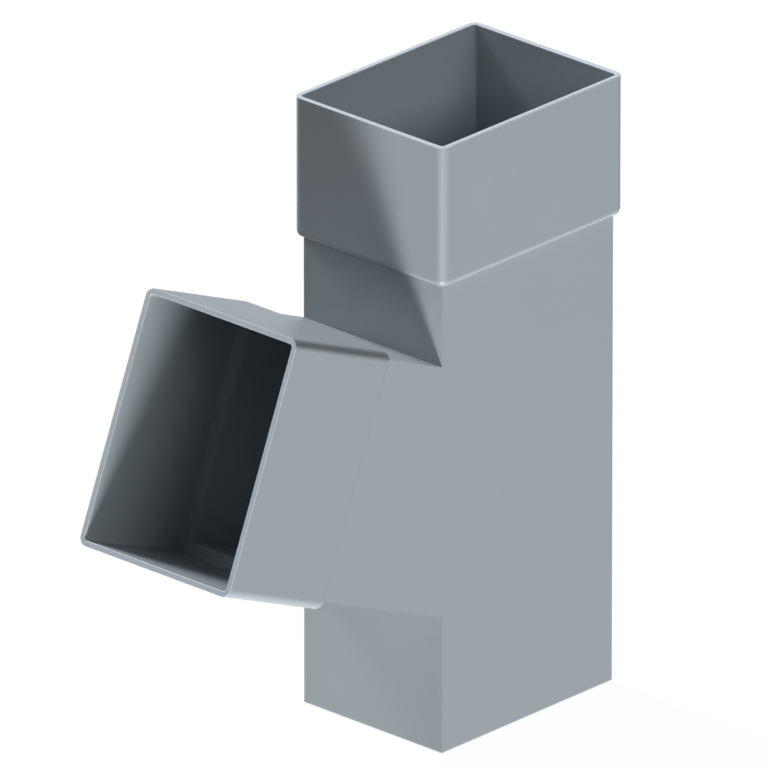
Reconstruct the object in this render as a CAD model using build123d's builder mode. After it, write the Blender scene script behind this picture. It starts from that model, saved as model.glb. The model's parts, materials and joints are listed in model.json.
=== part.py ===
from build123d import *
import os

# Branch fitting for a rectangular rainwater pipe, moulded in one piece of grey PVC.
# All sizes are in millimetres. Z runs up the main tube, and the origin is the middle
# of its lower end. The branch leaves the narrow face on -X and climbs as it goes out.

# Pipe that the fitting joins
pipe_x = 80.0                  # outer size across X, and across the branch's slope
pipe_y = 60.0                  # outer size across Y
pipe_clearance = 0.25          # gap round a pipe end where it meets its stop, on each side

# Tubes of the body, which are as large outside as the pipe
tube_wall = 4.0                # its end inside each socket is the pipe's stop
body_height = 210.0            # from the lower end to the rim of the upper socket

# Sockets, one at the top and one on the branch
socket_reach = 46.5            # inside, from the rim to the stop
socket_base = 1.8              # length of the socket's outside beyond the stop
socket_wall = 2.25             # beside the stop; it thins towards the rim
socket_draft = 0.5             # degrees that each inner side leans outwards
inner_corner = 0.75            # radius of the four inner corners beside the stop
stop_round = 0.5               # fillet where the socket's wall meets the stop
shoulder_land = 0.1            # flat left between the shoulder's rounding and the tube
mouth_round = 0.3              # inner edge of the rim
rim_round = 0.15               # outer edge of the rim

# Branch
branch_slope = 22.5            # degrees above level
branch_start = 73.8            # height at which the two axes cross
branch_length = 136.2          # along its own axis, from there to the rim

# Outside of the sockets
socket_step = pipe_clearance + socket_wall
socket_x = pipe_x + 2 * socket_step
socket_y = pipe_y + 2 * socket_step
socket_corner = inner_corner + socket_wall
shoulder_round = socket_step - shoulder_land

# Planes across the two axes: X spans the 80 mm side, Y the 60 mm side, and Z points out
base = Plane.XY
crossing = Plane(Location((0, 0, branch_start), (0, branch_slope - 90, 0)))
rims = (base.offset(body_height), crossing.offset(branch_length))
stops = [rim.offset(-socket_reach) for rim in rims]


def faces_across(part, rim):
    """Faces of the part that are parallel to a rim, from the innermost one to the rim."""
    return part.faces().filter_by(rim).sort_by(Axis(rim.origin, rim.z_dir))


with BuildPart() as downpipe_branch:
    # Outsides of the sockets, each with its lower end rounded
    with BuildSketch(*rims):
        RectangleRounded(socket_x, socket_y, socket_corner)
    extrude(amount=-(socket_reach + socket_base))
    for rim in rims:
        shoulder = faces_across(downpipe_branch, rim)[0]
        fillet(shoulder.edges(), shoulder_round)

    # Outsides of the main tube and of the branch tube, each up to its stop
    with BuildSketch(base):
        Rectangle(pipe_x, pipe_y)
    extrude(amount=body_height - socket_reach)
    with BuildSketch(crossing):
        Rectangle(pipe_x, pipe_y)
    extrude(amount=branch_length - socket_reach)

    # Insides of the sockets, which widen to the rim and have a fillet round the flat end
    with BuildSketch(*stops):
        RectangleRounded(pipe_x + 2 * pipe_clearance, pipe_y + 2 * pipe_clearance, inner_corner)
    extrude(amount=socket_reach, taper=-socket_draft, mode=Mode.SUBTRACT)
    for rim in rims:
        flat_end = faces_across(downpipe_branch, rim)[-2]
        fillet(flat_end.edges(), stop_round)

    # Bores of the two tubes, which leave the flat ends as stops all round
    with BuildSketch(base):
        Rectangle(pipe_x - 2 * tube_wall, pipe_y - 2 * tube_wall)
    extrude(amount=body_height, mode=Mode.SUBTRACT)
    with BuildSketch(crossing):
        Rectangle(pipe_x - 2 * tube_wall, pipe_y - 2 * tube_wall)
    extrude(amount=branch_length, mode=Mode.SUBTRACT)

    # Inner and outer edges of the rims
    for rim in rims:
        fillet(faces_across(downpipe_branch, rim)[-1].inner_wires()[0].edges(), mouth_round)
        fillet(faces_across(downpipe_branch, rim)[-1].outer_wire().edges(), rim_round)

downpipe_branch.part.label = "downpipe_branch"

os.makedirs("parts", exist_ok=True)
export_step(downpipe_branch.part, "parts/downpipe_branch.step")
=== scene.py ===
import json
import math

import bpy
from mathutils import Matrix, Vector


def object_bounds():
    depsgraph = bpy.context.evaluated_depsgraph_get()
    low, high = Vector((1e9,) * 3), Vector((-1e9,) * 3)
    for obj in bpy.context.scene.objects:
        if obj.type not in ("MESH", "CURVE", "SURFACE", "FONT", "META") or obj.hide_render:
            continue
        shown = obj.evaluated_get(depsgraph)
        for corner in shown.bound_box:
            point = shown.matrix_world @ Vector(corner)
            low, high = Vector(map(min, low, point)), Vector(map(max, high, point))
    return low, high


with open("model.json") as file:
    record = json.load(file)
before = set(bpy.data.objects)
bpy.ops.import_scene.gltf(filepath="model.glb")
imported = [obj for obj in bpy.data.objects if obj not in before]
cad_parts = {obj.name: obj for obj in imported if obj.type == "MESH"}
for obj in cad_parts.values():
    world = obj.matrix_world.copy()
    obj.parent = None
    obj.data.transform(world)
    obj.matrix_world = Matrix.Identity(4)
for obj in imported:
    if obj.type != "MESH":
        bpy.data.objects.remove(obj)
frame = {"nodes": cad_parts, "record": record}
cad_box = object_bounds()

bl_info = {
    "name": "Downpipe branch",
    "version": (1, 0, 0),
    "blender": (4, 5, 0),
    "location": "3D View > Sidebar > Downpipe",
    "description": "Finishes a moulded PVC downpipe branch and sets it in a soft studio",
    "category": "Object",
}

BODY_NODE = "downpipe_branch"
MOUNTS = {mount["name"]: mount for mount in frame["record"]["mounts"]}

# The ends of the tubes that a hand, a saw or a van floor rubs first. They are painted paler,
# partly as wear and partly as a painted highlight on the bright rims
WORN_AND_HIGHLIGHTED_ENDS = ("upper_socket_rim", "branch_socket_rim", "spigot_end")
# Share of the paler band, next to the end, that is fully pale; over the rest it fades out
WORN_AND_HIGHLIGHTED_FULLY = 0.25

# How far the pigment's clouds and the grain move the colour, to either side of it
CLOUD_SHADE = 0.025
GRAIN_SHADE = 0.015

# Satin skin, which varies a little with the flow marks; both values are matched to the object
ROUGHNESS = (0.38, 0.48)
# The IOR is typical of rigid PVC; the specular level, usually 0.5, is matched to the object
PVC_GLOSS = {"IOR": 1.53, "Specular IOR Level": 0.35}

# Distance of the sheet's top under the object, in metres, so that the two don't share a plane
TABLE_GAP = 0.00002

# Distance of every lamp from the object, in metres
LAMP_DISTANCE = 6.0
# Lamps by name: azimuth and elevation from the object in degrees, width and height in metres,
# level and colour. At level 1 a surface that faces the lamp shows its colour as written. Places
# and levels are matched to the tones on the object, and are not those of a known studio.
LAMPS = {
    "Lamp under the table": (-46.0, -49.0, 1.3, 1.8, 1.34, "#FFFFFF"),
    "Lamp low under the table": (-18.0, -75.5, 1.9, 1.9, 0.24, "#FFFFFF"),
    "Lamp under the table at the back": (115.0, -38.0, 1.9, 1.9, 0.5, "#FFFFFF"),
    "Lamp behind": (178.0, 14.5, 1.9, 1.9, 0.35, "#FAFAFF"),
    "Lamp high behind": (184.0, 44.0, 1.9, 1.9, 1.12, "#FAFAFF"),
    "Lamp behind on the right": (134.0, 28.0, 1.9, 1.9, 0.08, "#FAFAFF"),
    "Lamp in front": (-4.0, 27.0, 4.6, 1.9, 0.31, "#FFFFFF"),
    "Lamp on the left": (-105.0, 46.0, 2.2, 1.9, 0.04, "#FAFAFF"),
}


def linear(hex_colour):
    """Linear RGBA of an sRGB hex colour."""
    channels = [int(hex_colour[i:i + 2], 16) / 255 for i in (1, 3, 5)]
    return (*[c / 12.92 if c <= 0.04045 else ((c + 0.055) / 1.055) ** 2.4 for c in channels], 1.0)


class PvcSettings(bpy.types.PropertyGroup):
    """Colour and surface of the moulded PVC."""

    colour: bpy.props.FloatVectorProperty(
        name="Colour", description="Grey of the pigmented PVC", subtype="COLOR", size=4,
        min=0.0, max=1.0, default=linear("#9AA3A8"))
    # Paler grey of the ends: partly wear, partly a painted highlight on the rims
    worn_and_highlighted: bpy.props.FloatVectorProperty(
        name="Worn and highlighted colour", description="Paler grey of the ends that have been rubbed",
        subtype="COLOR", size=4, min=0.0, max=1.0, default=linear("#C0CAD0"))
    grain: bpy.props.FloatProperty(
        name="Grain", description="Spacing of the fine grain that the mould's steel leaves",
        unit="LENGTH", subtype="DISTANCE", min=0.0001, default=0.0009)
    grain_depth: bpy.props.FloatProperty(
        name="Grain depth", description="Height of the grain, from its pits to its peaks",
        unit="LENGTH", subtype="DISTANCE", min=0.0, default=0.000004)
    flow: bpy.props.FloatProperty(
        name="Flow marks", description="Width of the soft marks left where the melt flowed",
        unit="LENGTH", subtype="DISTANCE", min=0.001, default=0.016)
    flow_depth: bpy.props.FloatProperty(
        name="Flow depth", description="Height of the soft waves in the wall",
        unit="LENGTH", subtype="DISTANCE", min=0.0, default=0.00001)
    cloud: bpy.props.FloatProperty(
        name="Clouding", description="Size of the faint clouds in the pigment",
        unit="LENGTH", subtype="DISTANCE", min=0.001, default=0.035)
    # Width of the paler band at each end, which is partly wear and partly painted highlight
    worn_and_highlighted_width: bpy.props.FloatProperty(
        name="Rubbed width", description="How far the rubbing reaches back from an end",
        unit="LENGTH", subtype="DISTANCE", min=0.0001, default=0.0005)


class StudioSettings(bpy.types.PropertyGroup):
    """Table, room, light and camera."""

    table_colour: bpy.props.FloatVectorProperty(
        name="Table", description="Colour of the shooting table", subtype="COLOR", size=4,
        min=0.0, max=1.0, default=linear("#3C3E3F"))
    table_glow: bpy.props.FloatProperty(
        name="Table glow", description="Light of the sheet itself where it is seen",
        subtype="FACTOR", min=0.0, soft_max=1.5, default=0.97)
    glow_colour: bpy.props.FloatVectorProperty(
        name="Glow colour", description="Colour of the table where it is seen", subtype="COLOR",
        size=4, min=0.0, max=1.0, default=linear("#FFFFFF"))
    room_colour: bpy.props.FloatVectorProperty(
        name="Room colour", description="Colour of the room round the table", subtype="COLOR",
        size=4, min=0.0, max=1.0, default=linear("#FFFFFF"))
    table_size: bpy.props.FloatProperty(
        name="Table size", description="Side of the square table",
        unit="LENGTH", subtype="DISTANCE", min=0.5, default=8.0)
    lamp_level: bpy.props.FloatProperty(
        name="Lamp level", description="Brightness of all lamps together",
        subtype="FACTOR", min=0.0, soft_max=2.0, default=1.0)
    room_level: bpy.props.FloatProperty(
        name="Room level", description="Even light that the object gets from the room",
        subtype="FACTOR", min=0.0, soft_max=1.0, default=0.04)
    camera_azimuth: bpy.props.FloatProperty(
        name="Camera azimuth", description="Turn of the camera about the object",
        subtype="ANGLE", default=math.radians(-47.062))
    camera_elevation: bpy.props.FloatProperty(
        name="Camera elevation", description="Height of the camera above level, as an angle",
        subtype="ANGLE", default=math.radians(23.073))
    camera_distance: bpy.props.FloatProperty(
        name="Camera distance", description="From the camera to the point that it looks at",
        unit="LENGTH", subtype="DISTANCE", min=1.0, default=10.852)
    camera_lens: bpy.props.FloatProperty(
        name="Lens", description="Focal length in millimetres, long for a nearly parallel view",
        min=50.0, default=1600.0)
    aim: bpy.props.FloatVectorProperty(
        name="Aim", description="Point in the middle of the picture",
        subtype="TRANSLATION", unit="LENGTH", size=3, default=(-0.03482, 0.0, 0.11761))


def add_node(tree, kind, values=None, links=None, **settings):
    """Add a shader node with its settings, its sockets' values and the links into them."""
    node = tree.nodes.new(kind)
    for name, value in settings.items():
        setattr(node, name, value)
    for socket, value in (values or {}).items():
        node.inputs[socket].default_value = value
    for socket, source in (links or {}).items():
        tree.links.new(source, node.inputs[socket])
    return node


def clear_tree(owner):
    """Empty the node tree of a material or world and return it."""
    owner.use_nodes = True
    owner.node_tree.nodes.clear()
    return owner.node_tree


def direction(azimuth, elevation):
    """Unit vector towards an azimuth and elevation in radians; azimuth 0 is -Y, and -X is -90."""
    flat = math.cos(elevation)
    return Vector((math.sin(azimuth) * flat, -math.cos(azimuth) * flat, math.sin(elevation)))


def seen_directly(tree):
    """1 for camera, glossy and transmission rays, and 0 for the light that falls on things."""
    ray = add_node(tree, "ShaderNodeLightPath").outputs
    either = add_node(tree, "ShaderNodeMath", operation="MAXIMUM",
                      links={0: ray["Is Camera Ray"], 1: ray["Is Glossy Ray"]})
    return add_node(tree, "ShaderNodeMath", operation="MAXIMUM",
                    links={0: either.outputs[0], 1: ray["Is Transmission Ray"]}).outputs[0]


def moulded_pvc(pvc):
    """Injection moulded PVC: an even grey with a satin skin, which mirrors its surroundings softly.

    The eye reads it by the broad blurred highlights, a very fine grain from the mould and a
    faint clouding of the pigment; the thin ends are painted paler, partly as wear and partly
    as a painted highlight on the rims.
    """
    material = bpy.data.materials.new("PVC moulded")
    tree = clear_tree(material)
    place = add_node(tree, "ShaderNodeTexCoord").outputs["Object"]

    # Faint clouds in the pigment
    clouds = add_node(tree, "ShaderNodeTexNoise", {"Scale": 1 / pvc.cloud, "Detail": 3.0},
                      {"Vector": place})
    shade = add_node(tree, "ShaderNodeMapRange",
                     {"To Min": 1 - CLOUD_SHADE, "To Max": 1 + CLOUD_SHADE},
                     {"Value": clouds.outputs[0]})
    # Real grain is about 0.2 mm, which is under a pixel; it is drawn coarse enough to show
    grain = add_node(tree, "ShaderNodeTexNoise", {"Scale": 1 / pvc.grain, "Detail": 2.0},
                     {"Vector": place})
    speckle = add_node(tree, "ShaderNodeMapRange",
                       {"To Min": 1 - GRAIN_SHADE, "To Max": 1 + GRAIN_SHADE},
                       {"Value": grain.outputs[0]})
    tone = add_node(tree, "ShaderNodeMath", operation="MULTIPLY",
                    links={0: shade.outputs[0], 1: speckle.outputs[0]})

    # Paler ends, partly wear and partly a painted highlight on the rims, each known by its
    # distance from the plane of the end
    worn_and_highlighted_mask = None
    for name in WORN_AND_HIGHLIGHTED_ENDS:
        axis = Vector(MOUNTS[name]["axis"])
        end = Vector(MOUNTS[name]["pos_m"]).dot(axis)
        along = add_node(tree, "ShaderNodeVectorMath", {1: axis}, {0: place},
                         operation="DOT_PRODUCT")
        worn_and_highlighted = add_node(tree, "ShaderNodeMapRange",
                          {"From Min": end - pvc.worn_and_highlighted_width,
                           "From Max": end - pvc.worn_and_highlighted_width * WORN_AND_HIGHLIGHTED_FULLY},
                          {"Value": along.outputs["Value"]}, interpolation_type="SMOOTHSTEP")
        if worn_and_highlighted_mask is None:
            worn_and_highlighted_mask = worn_and_highlighted.outputs[0]
        else:
            worn_and_highlighted_mask = add_node(tree, "ShaderNodeMath", operation="MAXIMUM",
                                links={0: worn_and_highlighted_mask, 1: worn_and_highlighted.outputs[0]}).outputs[0]
    # The paler colour at the ends is partly wear and partly a painted highlight on the rims
    colour = add_node(tree, "ShaderNodeMix", {"A": pvc.colour, "B": pvc.worn_and_highlighted},
                      {"Factor": worn_and_highlighted_mask}, data_type="RGBA")
    toned = add_node(tree, "ShaderNodeVectorMath", operation="SCALE",
                     links={0: colour.outputs["Result"], "Scale": tone.outputs[0]})

    # Soft waves where the melt flowed, and the grain on top of them
    flow = add_node(tree, "ShaderNodeTexNoise", {"Scale": 1 / pvc.flow, "Detail": 1.0},
                    {"Vector": place})
    waves = add_node(tree, "ShaderNodeBump", {"Strength": 1.0, "Distance": pvc.flow_depth},
                     {"Height": flow.outputs[0]})
    skin = add_node(tree, "ShaderNodeBump", {"Strength": 1.0, "Distance": pvc.grain_depth},
                    {"Height": grain.outputs[0], "Normal": waves.outputs["Normal"]})
    roughness = add_node(tree, "ShaderNodeMapRange",
                         {"To Min": ROUGHNESS[0], "To Max": ROUGHNESS[1]},
                         {"Value": flow.outputs[0]})

    shader = add_node(tree, "ShaderNodeBsdfPrincipled", PVC_GLOSS,
                      {"Base Color": toned.outputs[0], "Roughness": roughness.outputs[0],
                       "Normal": skin.outputs["Normal"]})
    add_node(tree, "ShaderNodeOutputMaterial", links={"Surface": shader.outputs[0]})
    return material


def table_top(studio):
    """Opal acrylic sheet of a light table: it looks white, and what stands on it shades it."""
    material = bpy.data.materials.new("Acrylic sheet opal")
    tree = clear_tree(material)
    matt = add_node(tree, "ShaderNodeBsdfDiffuse", {"Color": studio.table_colour})
    glow = add_node(tree, "ShaderNodeEmission",
                    {"Color": studio.glow_colour, "Strength": studio.table_glow})
    lit = add_node(tree, "ShaderNodeAddShader", links={0: matt.outputs[0], 1: glow.outputs[0]})
    mixed = add_node(tree, "ShaderNodeMixShader",
                     links={0: seen_directly(tree), 1: matt.outputs[0], 2: lit.outputs[0]})
    add_node(tree, "ShaderNodeOutputMaterial", links={"Surface": mixed.outputs[0]})
    return material


def room(studio):
    """World that is the dim studio room round the table."""
    world = bpy.data.worlds.new("Studio room")
    tree = clear_tree(world)
    dim = add_node(tree, "ShaderNodeBackground",
                   {"Color": studio.room_colour, "Strength": studio.room_level})
    add_node(tree, "ShaderNodeOutputWorld", links={"Surface": dim.outputs[0]})
    return world


def place_lamp(name, studio):
    """Soft rectangular lamp that faces the middle of the object."""
    azimuth, elevation, width, height, level, colour = LAMPS[name]
    towards = direction(math.radians(azimuth), math.radians(elevation))
    bpy.ops.object.light_add(type="AREA")
    lamp = bpy.context.object
    lamp.name = lamp.data.name = name
    lamp.location = (cad_box[0] + cad_box[1]) / 2 + towards * LAMP_DISTANCE
    lamp.rotation_euler = towards.to_track_quat("Z", "Y").to_euler()
    lamp.data.shape = "RECTANGLE"
    lamp.data.size, lamp.data.size_y = width, height
    # A surface at this distance gets power / (pi * distance^2), and shows 1 / pi of it
    lamp.data.energy = level * studio.lamp_level * (math.pi * LAMP_DISTANCE) ** 2
    lamp.data.color = linear(colour)[:3]
    lamp.visible_camera = False


class DOWNPIPE_OT_body(bpy.types.Operator):
    """Give the moulded body its PVC"""

    bl_idname = "downpipe.body"
    bl_label = "Finish moulded body"

    def execute(self, context):
        body = frame["nodes"][BODY_NODE]
        material = moulded_pvc(context.scene.downpipe_pvc)
        for slot in body.material_slots:
            slot.material = material
        return {"FINISHED"}


class DOWNPIPE_OT_stage(bpy.types.Operator):
    """Set up the table, room, lamps and camera"""

    bl_idname = "downpipe.stage"
    bl_label = "Set up studio"

    def execute(self, context):
        studio = context.scene.downpipe_studio
        for spare in [o for o in context.scene.objects if o.type in {"LIGHT", "CAMERA"}]:
            bpy.data.objects.remove(spare)

        bpy.ops.object.select_all(action="DESELECT")
        bpy.ops.mesh.primitive_plane_add(size=studio.table_size)
        table = context.object
        table.name = "Table"
        table.location.z = -TABLE_GAP
        table.data.materials.append(table_top(studio))
        # The sheet lets the lamps under it shine on the object
        table.visible_shadow = False

        context.scene.world = room(studio)
        for name in LAMPS:
            place_lamp(name, studio)

        towards = direction(studio.camera_azimuth, studio.camera_elevation)
        bpy.ops.object.camera_add()
        camera = context.object
        camera.name = "Camera"
        camera.location = Vector(studio.aim) + towards * studio.camera_distance
        camera.rotation_euler = towards.to_track_quat("Z", "Y").to_euler()
        camera.data.lens = studio.camera_lens
        context.scene.camera = camera
        context.scene.view_settings.view_transform = "Standard"
        return {"FINISHED"}


class DOWNPIPE_PT_panel(bpy.types.Panel):
    """Downpipe branch"""

    bl_label = "Downpipe branch"
    bl_idname = "DOWNPIPE_PT_panel"
    bl_space_type = "VIEW_3D"
    bl_region_type = "UI"
    bl_category = "Downpipe"

    def draw(self, context):
        for operator, group in (
                (DOWNPIPE_OT_body, context.scene.downpipe_pvc),
                (DOWNPIPE_OT_stage, context.scene.downpipe_studio)):
            box = self.layout.box()
            box.operator(operator.bl_idname)
            for name in group.__annotations__:
                box.prop(group, name)


CLASSES = (PvcSettings, StudioSettings, DOWNPIPE_OT_body, DOWNPIPE_OT_stage, DOWNPIPE_PT_panel)


def register():
    for cls in CLASSES:
        bpy.utils.register_class(cls)
    bpy.types.Scene.downpipe_pvc = bpy.props.PointerProperty(type=PvcSettings)
    bpy.types.Scene.downpipe_studio = bpy.props.PointerProperty(type=StudioSettings)


def unregister():
    del bpy.types.Scene.downpipe_studio
    del bpy.types.Scene.downpipe_pvc
    for cls in reversed(CLASSES):
        bpy.utils.unregister_class(cls)


def main():
    register()
    bpy.ops.downpipe.body()
    bpy.ops.downpipe.stage()


if __name__ == "__main__":
    main()
